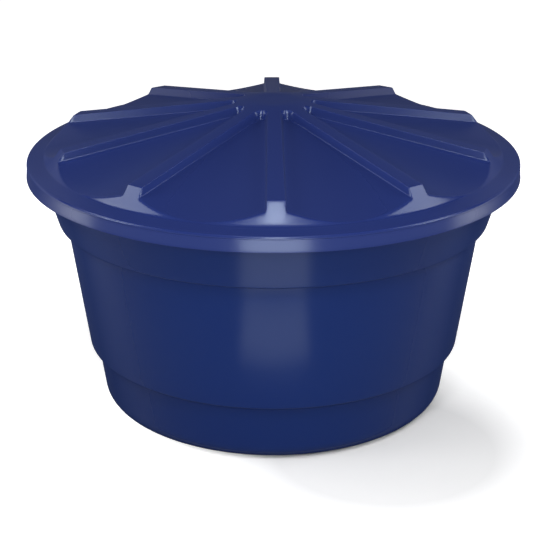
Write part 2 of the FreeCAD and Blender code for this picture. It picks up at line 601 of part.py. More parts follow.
def hex_nut(label, placement, base, height, washer, washer_radius, flats, bore):
    """A hexagon nut from a base height along Z, on a round washer face when that has a thickness."""
    body = new_body(label + "_body", placement)
    sketch = sketch_on(body, "flats", "XY_Plane", raised(base))
    hexagon(sketch, flats)
    pad = body.newObject("PartDesign::Pad", "nut")
    pad.Profile = sketch
    pad.setExpression("Length", height)
    doc.recompute()
    if washer:
        revolve(body, "washer_face", [
            ("0", base), (washer_radius, base),
            (washer_radius, f"{base} + {washer}"), ("0", f"{base} + {washer}"),
        ])
    hole = sketch_on(body, "bore_circle", "XY_Plane")
    circle(hole, "0", "0", bore)
    both_ways(body, "PartDesign::Pocket", "bore", hole, f"2 * ({base} + {height}) + 2 * ({height})")
    return named(body, label)


def ring(label, placement, inner, outer, low, high):
    """A flat ring between two heights."""
    body = new_body(label + "_body", placement)
    revolve(body, "ring", [(inner, low), (outer, low), (outer, high), (inner, high)])
    return named(body, label)


def flanged_fitting(seat):
    """Head and gasket inside the wall, nut on its own thread outside, and the pipe thread beyond."""
    place = seat_placement(seat)
    thread = f"Worked.{seat}_thread"
    shank = f"Dims.{seat}_shank"
    bore = f"Dims.{seat}_bore"
    head = f"Dims.{seat}_head"
    seat_face = "-Dims.tank_wall - Dims.gasket_thickness"
    body = new_body(f"{seat}_fitting", place)
    turn = revolve(body, "fitting", [
        (bore, f"{seat_face} - Dims.flange_thickness"),
        (head, f"{seat_face} - Dims.flange_thickness"),
        (head, seat_face),
        (thread, seat_face),
        (thread, "Worked.thread_end"),
        (shank, "Worked.thread_end"),
        (shank, "Dims.shank_length"),
        (bore, "Dims.shank_length"),
    ])
    edge = ring_at(head, f"{seat_face} - Dims.flange_thickness")
    round_edges(body, "head_edge", turn, "Dims.head_round", edge)
    named(body, f"{seat}_flange")
    ring(f"{seat}_gasket", place, f"{thread} + Dims.thread_gap", f"{head} - Dims.head_round", seat_face,
         "-Dims.tank_wall")
    hex_nut(f"{seat}_nut", place, "0", "Dims.nut_height", "Dims.nut_washer", head, f"Dims.{seat}_nut_flats",
            f"{thread} + Dims.thread_gap")


def drain_cap():
    """A screwed cap over the end of the drain's shank, with a six-sided grip."""
    body = new_body("drain_cap_body", seat_placement("drain"))
    inner = "Dims.drain_shank + Dims.thread_gap"
    mouth = "Dims.shank_length - Dims.cap_grip"
    end = "Dims.shank_length + Dims.seat_gap + Dims.cap_wall"
    sketch = sketch_on(body, "grip_plan", "XY_Plane", raised(mouth))
    hexagon(sketch, f"2 * ({inner} + Dims.cap_wall)")
    pad = body.newObject("PartDesign::Pad", "grip")
    pad.Profile = sketch
    pad.setExpression("Length", f"{end} - ({mouth})")
    doc.recompute()
    hollow = sketch_on(body, "hollow_outline", "XZ_Plane")
    outline(hollow, [
        ("0", f"{mouth} - Dims.cap_wall"), (inner, f"{mouth} - Dims.cap_wall"),
        (inner, "Dims.shank_length + Dims.seat_gap"), ("0", "Dims.shank_length + Dims.seat_gap"),
    ])
    groove = body.newObject("PartDesign::Groove", "hollow")
    groove.Profile = hollow
    groove.ReferenceAxis = (hollow, ["V_Axis"])
    groove.Angle = 360
    doc.recompute()
    named(body, "drain_cap")


# ---------------------------------------------------------------- float valve

def valve_body():
    """Inlet shank, head, barrel with its nozzle, and two ears below that carry the lever's pin."""
    body = new_body("valve_casting", seat_placement("inlet"))
    seat_face = "-Dims.tank_wall - Dims.gasket_thickness"
    chamber = "Dims.plunger_radius + Dims.plunger_gap"
    lip = "(Dims.inlet_bore + Dims.closed_gap * 8)"
    turn = revolve(body, "barrel", [
        ("Dims.inlet_bore", "Dims.shank_length"),
        ("Dims.inlet_bore", "-Dims.nozzle_depth"),
        (lip, "-Dims.nozzle_depth"),
        (chamber, "-Dims.nozzle_depth + Dims.valve_washer / 2"),
        (chamber, "-Dims.barrel_length"),
        ("Dims.barrel_radius", "-Dims.barrel_length"),
        ("Dims.barrel_radius", f"{seat_face} - Dims.flange_thickness"),
        ("Dims.inlet_head", f"{seat_face} - Dims.flange_thickness"),
        ("Dims.inlet_head", seat_face),
        ("Worked.inlet_thread", seat_face),
        ("Worked.inlet_thread", "Worked.thread_end"),
        ("Dims.inlet_shank", "Worked.thread_end"),
        ("Dims.inlet_shank", "Dims.shank_length"),
    ])
    round_edges(body, "head_edge", turn, "Dims.head_round",
                ring_at("Dims.inlet_head", f"{seat_face} - Dims.flange_thickness"))
    ears = sketch_on(body, "ears_outline", "XZ_Plane")
    low = "-Dims.pivot_depth - Dims.lug_half_length"
    high = "-Dims.pivot_depth + Dims.lug_half_length"
    root = "(Dims.plunger_radius + Dims.barrel_radius) / 2"
    tip = "Dims.pivot_drop + Dims.lug_reach"
    outline(ears, [(root, low), (tip, low), (tip, high), (root, high)])
    both_ways(body, "PartDesign::Pad", "ears", ears, "2 * (Worked.slot_half_width + Dims.lug_thickness)")
    slot = sketch_on(body, "slot_outline", "XZ_Plane")
    outline(slot, [
        ("0", f"{low} - Dims.lug_reach"), (f"{tip} + Dims.lug_reach", f"{low} - Dims.lug_reach"),
        (f"{tip} + Dims.lug_reach", f"{high} + Dims.lug_reach / 2"), ("0", f"{high} + Dims.lug_reach / 2"),
    ])
    both_ways(body, "PartDesign::Pocket", "lever_slot", slot, "2 * Worked.slot_half_width")
    stop = sketch_on(body, "stop_outline", "XZ_Plane")
    web = "Dims.pivot_drop + Worked.stop_drop"
    face = "-Dims.pivot_depth + Worked.stop_depth"
    outline(stop, [(web, face), (tip, face), (tip, high), (web, high)])
    both_ways(body, "PartDesign::Pad", "stop", stop, "2 * (Worked.slot_half_width + Dims.lug_thickness)")
    hole = sketch_on(body, "pin_hole_circle", "XZ_Plane")
    circle(hole, "Dims.pivot_drop", "-Dims.pivot_depth", "Dims.pin_radius")
    both_ways(body, "PartDesign::Pocket", "pin_hole", hole, "4 * Dims.barrel_radius")
    named(body, "float_valve_body")


def valve_pin():
    """A headed pin across the two ears."""
    across = "placement(vector(Dims.pivot_drop; 0; -Dims.pivot_depth); rotation(vector(1; 0; 0); 90))"
    body = new_body("pin_blank", f"{seat_placement('inlet')} * {across}")
    side = "Worked.slot_half_width + Dims.lug_thickness"
    revolve(body, "pin", [
        ("0", f"-({side}) - Dims.pin_tail"), ("Dims.pin_head", f"-({side}) - Dims.pin_tail"),
        ("Dims.pin_head", f"-({side})"), ("Dims.pin_radius", f"-({side})"),
        ("Dims.pin_radius", f"{side} + Dims.pin_tail"), ("0", f"{side} + Dims.pin_tail"),
    ])
    named(body, "float_pivot_pin")


def plunger():
    """The plunger, open at rest: a narrow slot takes the lever's tip, with relief for its finger."""
    body = new_body("plunger_blank", seat_placement("inlet"))
    front = "Worked.plunger_front"
    back = "Worked.plunger_front - Dims.plunger_length"
    radius = "Dims.plunger_radius"
    revolve(body, "plunger", [("0", back), (radius, back), (radius, front), ("0", front)])
    tip_half = "(Dims.lever_tip + Dims.tip_gap)"
    relief_half = "Dims.lever_tip * 3"
    width = "2 * Worked.slot_half_width"
    for name, half, top in (
        ("tip_slot", tip_half, "-Dims.lever_tip * 1.6"),
        ("finger_relief", relief_half, "Dims.lever_tip * 1.2"),
    ):
        sketch = sketch_on(body, name + "_outline", "XZ_Plane")
        outline(sketch, [
            (top, f"Worked.tip_depth - {half}"), ("2 * Dims.plunger_radius", f"Worked.tip_depth - {half}"),
            ("2 * Dims.plunger_radius", f"Worked.tip_depth + {half}"), (top, f"Worked.tip_depth + {half}"),
        ])
        both_ways(body, "PartDesign::Pocket", name, sketch, width)
    named(body, "float_valve_plunger")


def plunger_washer():
    body = new_body("washer_blank", seat_placement("inlet"))
    radius = "Dims.plunger_radius - 2 * Dims.tip_gap"
    revolve(body, "washer", [
        ("0", "Worked.plunger_front"), (radius, "Worked.plunger_front"),
        (radius, "Worked.washer_front"), ("0", "Worked.washer_front"),
    ])
    named(body, "float_valve_washer")


def arm_placement():
    """Carries the float arm's own frame, Z along the rod from the pivot, to the hanging position."""
    pivot = "vector(Dims.pivot_drop; 0; -Dims.pivot_depth)"
    hang = "rotation(vector(0; 1; 0); 180 - Dims.float_drop)"
    return f"{seat_placement('inlet')} * placement({pivot}; {hang})"


def lever():
    """Blade with a hub on the pin, a short finger with a round tip, and a socket for the rod."""
    body = new_body("lever_blank", arm_placement())
    thick = "Dims.lever_thickness"
    hub = sketch_on(body, "hub_circle", "XZ_Plane")
    circle(hub, "0", "0", "Dims.lever_hub")
    both_ways(body, "PartDesign::Pad", "hub", hub, thick)
    finger = sketch_on(body, "finger_outline", "XZ_Plane")
    along = ("sin(Worked.finger_angle)", "cos(Worked.finger_angle)")
    across = ("cos(Worked.finger_angle)", "-sin(Worked.finger_angle)")
    corners = []
    for reach, side in (("0", "-1"), ("Dims.pivot_drop", "-1"), ("Dims.pivot_drop", "1"), ("0", "1")):
        corners.append([f"{reach} * {along[k]} + {side} * Dims.finger_half_width * {across[k]}"
                        for k in (0, 1)])
    outline(finger, corners)
    both_ways(body, "PartDesign::Pad", "finger", finger, thick)
    tip = sketch_on(body, "tip_circle", "XZ_Plane")
    circle(tip, f"Dims.pivot_drop * {along[0]}", f"Dims.pivot_drop * {along[1]}", "Dims.lever_tip")
    both_ways(body, "PartDesign::Pad", "tip", tip, thick)
    blade = sketch_on(body, "blade_outline", "XZ_Plane")
    side = "Dims.blade_half_width"
    start = "Dims.socket_start"
    outline(blade, [(f"-{side}", "0"), (side, "0"), (side, start), (f"-{side}", start)])
    both_ways(body, "PartDesign::Pad", "blade", blade, thick)
    end = "Dims.socket_start + Dims.socket_radius + Dims.socket_depth"
    revolve(body, "socket", [
        ("0", "Dims.socket_start"), ("Dims.socket_radius", "Dims.socket_start"),
        ("Dims.socket_radius", end), ("Dims.rod_radius + Dims.rod_gap", end),
        ("Dims.rod_radius + Dims.rod_gap", "Dims.socket_start + Dims.socket_radius"),
        ("0", "Dims.socket_start + Dims.socket_radius"),
    ])
    hole = sketch_on(body, "pivot_circle", "XZ_Plane")
    circle(hole, "0", "0", "Dims.pin_radius + Dims.pin_gap")
    both_ways(body, "PartDesign::Pocket", "pivot_hole", hole, "4 * Dims.barrel_radius")
    named(body, "float_lever")


def float_rod():
    rod = doc.addObject("Part::Cylinder", "rod")
    rod.setExpression("Radius", "Dims.rod_radius")
    start = "(Dims.socket_start + Dims.socket_radius)"
    rod.setExpression("Height", f"Worked.neck_start + Dims.neck_grip - {start}")
    rod.setExpression("Placement", f"{arm_placement()} * {raised(start)}")
    named(rod, "float_rod")


def float_ball():
    """A hollow ball with a blind neck that takes the rod."""
    body = new_body("ball_blank", arm_placement())
    neck_end = "Worked.neck_start + Dims.neck_grip"
    bore = "Dims.rod_radius + Dims.rod_gap"
    revolve(body, "neck", [
        (bore, "Worked.neck_start"), ("Dims.neck_radius", "Worked.neck_start"),
        ("Dims.neck_radius", f"{neck_end} + Dims.float_wall"), ("0", f"{neck_end} + Dims.float_wall"),
        ("0", neck_end), (bore, neck_end),
    ])
    shell = []
    inside = "Dims.float_radius - Dims.float_wall"
    for name, radius in (("ball_outside", "Dims.float_radius"), ("ball_inside", inside)):
        ball = doc.addObject("Part::Sphere", name)
        ball.setExpression("Radius", radius)
        ball.setExpression("Placement", f"{arm_placement()} * {raised('Dims.float_reach')}")
        shell.append(ball)
    skin = doc.addObject("Part::Cut", "ball_skin")
    skin.Base, skin.Tool = shell
    bored = doc.addObject("Part::Cylinder", "ball_mouth")
    bored.setExpression("Radius", "Dims.neck_radius")
    bored.setExpression("Height", "2 * Dims.float_neck")
    bored.setExpression("Placement", f"{arm_placement()} * {raised('Worked.neck_start')}")
    pierced = doc.addObject("Part::Cut", "ball_pierced")
    pierced.Base = skin
    pierced.Tool = bored
    whole = doc.addObject("Part::Fuse", "ball")
    whole.Base = pierced
    whole.Tool = body
    named(whole, "float_ball")


def build_float_valve():
    place = seat_placement("inlet")
    thread = "Worked.inlet_thread"
    valve_body()
    ring("inlet_inner_washer", place, f"{thread} + Dims.thread_gap", "Dims.inlet_head - Dims.head_round",
         "-Dims.tank_wall - Dims.gasket_thickness", "-Dims.tank_wall")
    ring("inlet_outer_washer", place, f"{thread} + Dims.thread_gap", "Dims.inlet_head - Dims.head_round",
         "0", "Dims.gasket_thickness")
    hex_nut("inlet_nut", place, "Dims.gasket_thickness", "Dims.nut_height", "", "", "Dims.inlet_nut_flats",
            f"{thread} + Dims.thread_gap")
    valve_pin()
    plunger()
    plunger_washer()
    lever()
    float_rod()
    float_ball()
    hex_nut("float_lock_nut", arm_placement(), "Worked.neck_start - Dims.rod_nut_height",
            "Dims.rod_nut_height", "", "", "Dims.rod_nut_flats", "Dims.rod_radius + Dims.rod_gap")


# ---------------------------------------------------------------- build, check and write

build_tank()
build_lid()
for seat in ("overflow", "outlet", "drain"):
    flanged_fitting(seat)
drain_cap()
build_float_valve()
doc.recompute()

for obj in doc.Objects:
    if "Invalid" in obj.State or "Error" in obj.State:
        raise RuntimeError(f"{obj.Name} ({obj.Label}) failed: {obj.State}")
os.makedirs("parts", exist_ok=True)
for part in SUBPARTS:
    if part.Shape.isNull() or not part.Shape.isValid():
        raise RuntimeError(f"{part.Label} has no valid shape")
for part in SUBPARTS:
    part.Shape.exportStep(f"parts/{part.Label}.step")
    print(part.Label, len(part.Shape.Solids), round(part.Shape.Volume / 1000, 2))
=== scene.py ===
import json
from math import cos, radians, sin, sqrt, tan

import bpy
import numpy as np
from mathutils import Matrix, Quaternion, Vector


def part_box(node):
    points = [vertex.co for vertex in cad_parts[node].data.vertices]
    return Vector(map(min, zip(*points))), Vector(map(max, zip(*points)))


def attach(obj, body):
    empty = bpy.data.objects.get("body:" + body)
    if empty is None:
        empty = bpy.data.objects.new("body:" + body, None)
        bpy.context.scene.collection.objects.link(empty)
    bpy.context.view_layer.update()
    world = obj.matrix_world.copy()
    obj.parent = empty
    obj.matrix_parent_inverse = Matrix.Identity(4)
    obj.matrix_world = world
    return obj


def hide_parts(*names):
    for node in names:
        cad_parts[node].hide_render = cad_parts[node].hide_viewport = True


# Round covered stock-water tank: three tapered bands under a lid of ten radial ribs with a sunk panel between each
# two. Shapes are worked out in millimetres about the tank's axis and put in place in metres.

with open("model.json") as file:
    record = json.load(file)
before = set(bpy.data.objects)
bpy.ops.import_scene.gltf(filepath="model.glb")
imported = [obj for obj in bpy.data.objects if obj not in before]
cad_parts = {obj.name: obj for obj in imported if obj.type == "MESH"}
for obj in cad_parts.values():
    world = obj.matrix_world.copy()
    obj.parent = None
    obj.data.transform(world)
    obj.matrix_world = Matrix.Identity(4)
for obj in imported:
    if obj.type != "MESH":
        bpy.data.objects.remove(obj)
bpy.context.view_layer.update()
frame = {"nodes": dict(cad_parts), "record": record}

# ---------------------------------------------------------------- sizes, in millimetres

LID_WALL = 5.0
RIB_END = 701.6                    # the riser falls from the rib ends to the flange
RISER_FOOT = 748.8
FLANGE = (1010.3504, 0.219)        # a cone: height at the axis, fall per radius
RISER = (FLANGE[0] + (1.314 - FLANGE[1]) * RISER_FOOT, 1.314)
CROWN = (RISER[0] - (RISER[1] - 0.1727) * RIB_END, 0.1727)
HUB_HEIGHT = 1000.0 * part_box("lid_shell")[1][2]
LID_EDGE = (805.3, 833.989)        # corner between flange and skirt
LID_EDGE_ROUND = 7.0
SKIRT_FOOT = (808.2, 786.289)
SKIRT_STEP = 1.0                   # the skirt stands in by this much under the rounded edge
TOP_END = 797.0                    # radius where the top passes into the rounded edge
UNDERSIDE_START = 799.0            # radius where the skirt's inside passes into the underside

# one panel between two ribs, in its own sector: x along its middle, y across
RIBS = 10
HALF_SECTOR = radians(180.0 / RIBS)
FIRST_RIB = radians(-90.0)
FOOT_LINE = (-29.21, 0.32249)      # foot of a side wall: offset, gain per x
BROW_LINE = (-19.94, 0.3116)       # top edge of a side wall
FOOT_CONE = (CROWN[0] - 27.3, 0.1693)
VALLEY = (1006.119, 0.21201)       # the floor's middle line: height at the axis, fall per x
PANEL_START = 125.0                # foot of the wall at the panel's inner end
PANEL_CORNER = 12.0
HUB_RING = PANEL_START - 20.0      # inside this the columns gather to the axis
TURNS_ROUND = (200.0, 500.0)       # between these a row turns from a ten-sided ring into a circle
RISER_ROWS = (692.0, 757.0)        # the rows lie closer together between these, over the riser
WALL_HEIGHT = 26.5                 # about, from floor to rib top
RIB_ROUND = 2.0
FOOT_ROUND = 2.5
# widths over which two surfaces blend: hub and crown, crown and riser, riser and flange, panel and crown
HUB_BLEND, RISER_BLEND, FLANGE_BLEND, PANEL_BLEND = 1.0, 2.0, 3.0, 1.5

TANK_WALL = 5.0
FLOOR_WALL = 6.0
LOWER = (572.5, 0.142)             # a wall: radius at height 0, gain per height
MIDDLE = (595.4216, 0.1424)
UPPER = (521.9982, 0.297)
LEVELS = (195.0, 203.5, 630.9, 639.4)           # corners of the two steps outside, from below
INNER_LEVELS = (198.71, 207.21, 634.71, 643.36)
BASE_ROUND = 51.0
STEP_ROUND = 8.0                   # at the foot of a band
CREASE_ROUND = 4.0                 # above the band below it
RIM_TOP = (1004.924, FLANGE[1])    # cones that lie parallel to the lid's flange
RIM_UNDER = (998.782, FLANGE[1])
RIM_RADIUS = 796.0
RIM_CREASE = 768.64                # radius where the wall meets the underside of the rim
BRIM = 765.46                      # radius where the top of the rim turns down into the tank
AXIS_HOLE = 20.0                   # the floor's rows start here and the poles close them
# flats for the pipe fittings: azimuth, height, half width, distance from the axis
FLATS = {"inlet": (90.0, 745.0, 32.0, 732.563), "overflow": (60.0, 705.0, 46.0, 715.747),
         "outlet": (90.0, 130.0, 38.0, 583.830), "drain": (120.0, 92.0, 38.0, 578.422)}
COLUMN_TURN = 1.5                  # degrees between two columns away from the fittings
FITTING_TURN = 5.0                 # degrees to each side of a fitting that its own columns take up
EDGE_GAP = 0.4                     # a column or level lies this far to each side of a flat's edge

# flanged fittings: shank, waterway, head, across flats of the nut
PIPES = {"overflow": (23.9, 19.0, 38.0, 66.0), "outlet": (16.6, 12.5, 30.0, 48.0),
         "drain": (16.6, 12.5, 30.0, 48.0)}
INLET_NUT = (13.2, 36.0)           # shank, across flats
THREAD_PITCH = 2.309               # of 1 inch pipe and wider
THREAD_DEPTH = 1.1
THREAD_GAP = 0.08                  # clearance of a nut or cap on its thread
HAIR = 0.01                        # keeps two edges of a line apart
NUT_THREAD = 1.6                   # how far the nut's own thread stands out from the pipe's
GASKET = 3.0                       # thickness, between the wall and the fitting's head
HEAD = 6.0                         # thickness of the head
NUT_HEIGHT = 14.0
NUT_WASHER = 3.0                   # height of the nut's washer face
SHANK = 42.0                       # the next four are distances out from the wall's flat
SHANK_STEP = 18.0                  # where the nut's thread ends
CAP_MOUTH = 20.0
CAP_END = 46.3
CAP_WALL = 4.0
CAP_ROUND = 3.5
CAP_POLE = 4.0                     # radius of the last ring before the pole


# ---------------------------------------------------------------- shapes

def put_mesh(name, rows, poles, body):
    """A watertight skin from a grid of points (row, column, xyz) that closes round its columns.

    A pole before the first row and one after the last close its ends. With no poles its last row joins its first.
    """
    count, around = rows.shape[:2]
    points = np.concatenate([rows.reshape(-1, 3), np.reshape(poles, (-1, 3))]) / 1000.0
    index = np.arange(count * around).reshape(count, around)
    if not len(poles):
        index = np.concatenate([index, index[:1]])
    right = np.roll(index, -1, axis=1)
    quads = np.stack([index[:-1], index[1:], right[1:], right[:-1]], axis=-1).reshape(-1, 4)
    first = np.stack([np.full(around, count * around), index[0], right[0]], axis=-1)
    last = np.stack([np.full(around, count * around + 1), right[-1], index[-1]], axis=-1)
    caps = np.concatenate([first, last]) if len(poles) else np.zeros((0, 3), int)
    corners = np.concatenate([quads.ravel(), caps.ravel()])
    sides = np.concatenate([np.full(len(quads), 4), np.full(len(caps), 3)])
    mesh = bpy.data.meshes.new(name)
    mesh.vertices.add(len(points))
    mesh.vertices.foreach_set("co", points.ravel().astype(np.float32))
    mesh.loops.add(len(corners))
    mesh.loops.foreach_set("vertex_index", corners.astype(np.int32))
    mesh.polygons.add(len(sides))
    mesh.polygons.foreach_set("loop_start", (np.cumsum(sides) - sides).astype(np.int32))
    mesh.update(calc_edges=True)
    mesh.validate()
    mesh.shade_smooth()
    piece = bpy.data.objects.new(name, mesh)
    bpy.context.scene.collection.objects.link(piece)
    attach(piece, body)
    return piece


def rounded(corners, points):
    """A line through (radius, height, rounding) corners, each rounding an arc that touches both of its lines.

    The arc's points are the middle of the corner plus the rounding times the direction, which turns evenly.
    """
    spots = np.array([c[:2] for c in corners], float)
    line = [spots[:1]]
    for before, spot, after, corner in zip(spots[:-2], spots[1:-1], spots[2:], corners[1:-1]):
        if corner[2] <= 0:
            line.append(spot[None])
            continue
        back = (before - spot) / np.linalg.norm(before - spot)
        ahead = (after - spot) / np.linalg.norm(after - spot)
        half = np.arccos(np.clip(back @ ahead, -1, 1)) / 2
        middle = spot + (back + ahead) / np.linalg.norm(back + ahead) * corner[2] / np.sin(half)
        start = spot + back * corner[2] / np.tan(half) - middle
        end = spot + ahead * corner[2] / np.tan(half) - middle
        turn = np.pi - 2 * half
        share = np.linspace(0, 1, points)[:, None]
        line.append(middle + (np.sin((1 - share) * turn) * start + np.sin(share * turn) * end) / np.sin(turn))
    line.append(spots[-1:])
    return np.concatenate(line)


def spaced(line, gap):
    """The same line with extra points, so that no span is longer than the gap."""
    parts = []
    for start, end in zip(line[:-1], line[1:]):
        count = max(1, int(np.ceil(np.linalg.norm(end - start) / gap)))
        parts.append(start + (end - start) * np.arange(count)[:, None] / count)
    return np.concatenate(parts + [line[-1:]])


def cone(line, radius):
    """Height of a cone at a radius: its height at the axis less its fall times the radius."""
    return line[0] - line[1] * radius


def along_axis(slope, inset):
    """How far an inset square to a sloping line moves it along the axis: inset * sqrt(1 + slope^2)."""
    return inset * sqrt(1 + slope ** 2)


def lower_of(a, b, width):
    """The lower of two heights, rounded over about the width where they cross.

    height = (a + b - sqrt((a - b)^2 + width^2)) / 2
    """
    return (a + b - np.sqrt((a - b) ** 2 + width ** 2)) / 2


def above(depth, width):
    """A depth where it is positive and nothing elsewhere, rounded: (d + sqrt(d^2 + w^2)) / 2."""
    return (depth + np.sqrt(depth ** 2 + width ** 2)) / 2


def crown_height(radius, inset):
    """The lid without its panels: hub and crown, riser and flange, moved inwards by the inset square to each."""
    crown, riser, flange = (cone(line, radius) - along_axis(line[1], inset) for line in (CROWN, RISER, FLANGE))
    hub = np.full_like(radius, HUB_HEIGHT - inset)
    top = lower_of(lower_of(crown, hub, HUB_BLEND), riser, RISER_BLEND)
    return np.where(radius < RIB_END, top, -lower_of(-top, -flange, FLANGE_BLEND))


def panel_floor(x, y, inset):
    """A panel's floor: an arch that hangs from the foot of both side walls down to the valley line.

    height = valley(x) + (foot - valley(x)) * (y / half(x))^2, with half(x) the foot line and foot its height on
    the foot cone.
    """
    half = np.maximum(FOOT_LINE[0] + FOOT_LINE[1] * x, 1.0)
    valley = VALLEY[0] - VALLEY[1] * x
    foot = cone(FOOT_CONE, np.hypot(x, half))
    share = np.minimum(np.abs(y) / half, 1.0)
    return valley + (foot - valley) * share ** 2 - along_axis(VALLEY[1], inset)


def wall_lean(x):
    """How far the top edge of a panel's wall stands back from its foot, which lessens outwards."""
    return BROW_LINE[0] - FOOT_LINE[0] + (BROW_LINE[1] - FOOT_LINE[1]) * np.maximum(x, PANEL_START)


def wall_profile(inset):
    """Up a panel's wall: (distance past the leaning face, share of the height), from floor to rib top.

    A quarter circle leaves the floor, the face itself adds no distance, and another quarter circle meets the top.
    """
    foot_round, top_round = FOOT_ROUND + inset, max(RIB_ROUND - inset, 1.0)
    turn = np.linspace(0, 1, 5) * np.pi / 2
    foot = np.stack([foot_round * (np.sin(turn) - 1), foot_round * (1 - np.cos(turn))], axis=1)
    top = np.stack([top_round * (1 - np.cos(turn)), WALL_HEIGHT - top_round * (1 - np.sin(turn))], axis=1)
    line = np.concatenate([foot, top])
    line[:, 1] /= WALL_HEIGHT
    return line


def lid_columns(inset):
    """Straight lines y = offset + slope * x across one sector, from rib middle to rib middle, with their share."""
    wall = wall_profile(inset)
    foot = np.array([FOOT_LINE[0] + along_axis(FOOT_LINE[1], inset), FOOT_LINE[1], 0.0])
    brow = np.array([foot[0] + BROW_LINE[0] - FOOT_LINE[0], BROW_LINE[1], 1.0])
    share = wall[:, 1:]
    wall_lines = foot * (1 - share) + brow * share + np.array([1.0, 0.0, 0.0]) * wall[:, :1]
    floor = np.linspace(0, 1, 13)[:-1, None]
    floor_lines = wall_lines[0] * floor * np.array([1.0, 1.0, 0.0])
    share = np.array([0.4, 1.0])[:, None]
    top_lines = wall_lines[-1] * (1 - share) + np.array([0.0, tan(HALF_SECTOR), 1.0]) * share
    half = np.concatenate([floor_lines, wall_lines, top_lines])
    mirrored = half[:0:-1] * np.array([-1, -1, 1])
    return np.concatenate([mirrored, half])[1:]


def on_columns(rho, lines, roundness):
    """Plan position of each row on each column's line; inside the panels' start the lines run on to the axis.

    A row is a ten-sided ring, x = rho, and turns into a circle as the roundness rises from 0 to 1: there x solves
    x^2 + (offset + slope * x)^2 = rho^2.
    """
    offset, slope = lines.T[:2, None, :]
    a, b = 1 + slope ** 2, offset * slope
    circle = (-b + np.sqrt(np.maximum(b ** 2 - a * (offset ** 2 - rho ** 2), 0))) / a
    x = rho * (1 - roundness) + circle * roundness
    y = np.where(rho < HUB_RING, (offset + slope * HUB_RING) * x / HUB_RING, offset + slope * x)
    return x, y



def lid_surface(distances, inset, lines):
    """Points of the lid's top, or of its underside at an inset, for rows at the given distances from the axis.

    The height is the crown less the panel's depth below it, and that depth fades up the walls. A point's distance
    past the foot of the walls is taken over the inner end, the side or the round corner between them, whose
    distance is hypot(past end + corner, past side + corner) - corner.
    """
    rho = np.asarray(distances, float)[:, None]
    x, y = on_columns(rho, lines, np.clip((rho - TURNS_ROUND[0]) / (TURNS_ROUND[1] - TURNS_ROUND[0]), 0, 1))
    wall = wall_profile(inset)
    lean = wall_lean(PANEL_START)
    corner = PANEL_CORNER + inset
    past_end = PANEL_START - inset - x
    past_side = np.abs(y) - FOOT_LINE[0] - FOOT_LINE[1] * x - along_axis(FOOT_LINE[1], inset)
    u, v = past_end + corner, past_side * lean / wall_lean(x) + corner
    past = np.hypot(np.maximum(u, 0), np.maximum(v, 0)) - corner + np.minimum(np.maximum(u, v), 0)
    near_share = np.interp(past, wall[:, 0] + wall[:, 1] * lean, wall[:, 1])
    share = np.where(u > 0, near_share, lines.T[2, None, :])
    rim = crown_height(np.hypot(x, y), inset)
    depth = above(rim - panel_floor(x, y, inset), PANEL_BLEND)
    return np.stack([x, y, rim - (1 - share) * depth], axis=-1)


def lid_rows(inset, coarse, outer):
    """Rows from hub to flange, close together at the panels' inner ends and over the riser."""
    wall = wall_profile(inset)
    end = PANEL_START - inset - (wall[:, 0] + wall[:, 1] * wall_lean(PANEL_START))[::-1]
    gap = 2.0 * coarse
    nose = np.arange(end[-1] + gap, end[-1] + PANEL_CORNER + inset + 4.0, gap)
    return np.concatenate([
        np.linspace(14, end[0] - 2, 6), end, nose,
        np.linspace(nose[-1] + 6 * coarse, RISER_ROWS[0] - 4, 26 // coarse),
        np.linspace(*RISER_ROWS, 44 // coarse), np.linspace(RISER_ROWS[1] + 4, outer, 5)])


def lid_grid():
    """The whole lid: top from hub to flange, rounded edge, skirt, its lip, and the underside back to the hub."""
    over = lid_columns(0.0)
    top = lid_surface(lid_rows(0.0, 1, TOP_END), 0.0, over)
    bottom = lid_surface(lid_rows(LID_WALL, 2, UNDERSIDE_START)[::-1], LID_WALL, lid_columns(LID_WALL))
    edge_foot = (LID_EDGE[0] + 0.4, LID_EDGE[1] - LID_EDGE_ROUND - 0.6)
    inner_edge = LID_EDGE[0] - LID_WALL
    wall = along_axis(FLANGE[1], LID_WALL)
    edge = spaced(rounded([
        (TOP_END, cone(FLANGE, TOP_END), 0), (*LID_EDGE, LID_EDGE_ROUND), (*edge_foot, 0.6),
        (edge_foot[0] - SKIRT_STEP, edge_foot[1] - 1.2, 0.5), (*SKIRT_FOOT, 1.5),
        (SKIRT_FOOT[0] - LID_WALL, SKIRT_FOOT[1], 1.5), (inner_edge, cone(FLANGE, inner_edge) - wall, 0.0),
        (UNDERSIDE_START, cone(FLANGE, UNDERSIDE_START) - wall, 0)], 7), 12.0)[1:-1]
    x, y = on_columns(edge[:, :1], over, 1.0)
    side = np.stack([x, y, np.broadcast_to(edge[:, 1:], x.shape)], axis=-1)
    sector = np.concatenate([top, side, bottom])
    turns = FIRST_RIB + HALF_SECTOR + np.arange(RIBS) * 2 * HALF_SECTOR
    c, s = np.cos(turns)[None, :, None], np.sin(turns)[None, :, None]
    px, py, pz = (sector[:, None, :, k] for k in range(3))
    grid = np.stack([px * c - py * s, px * s + py * c, pz + 0 * c], axis=-1)
    return grid.reshape(len(sector), -1, 3)


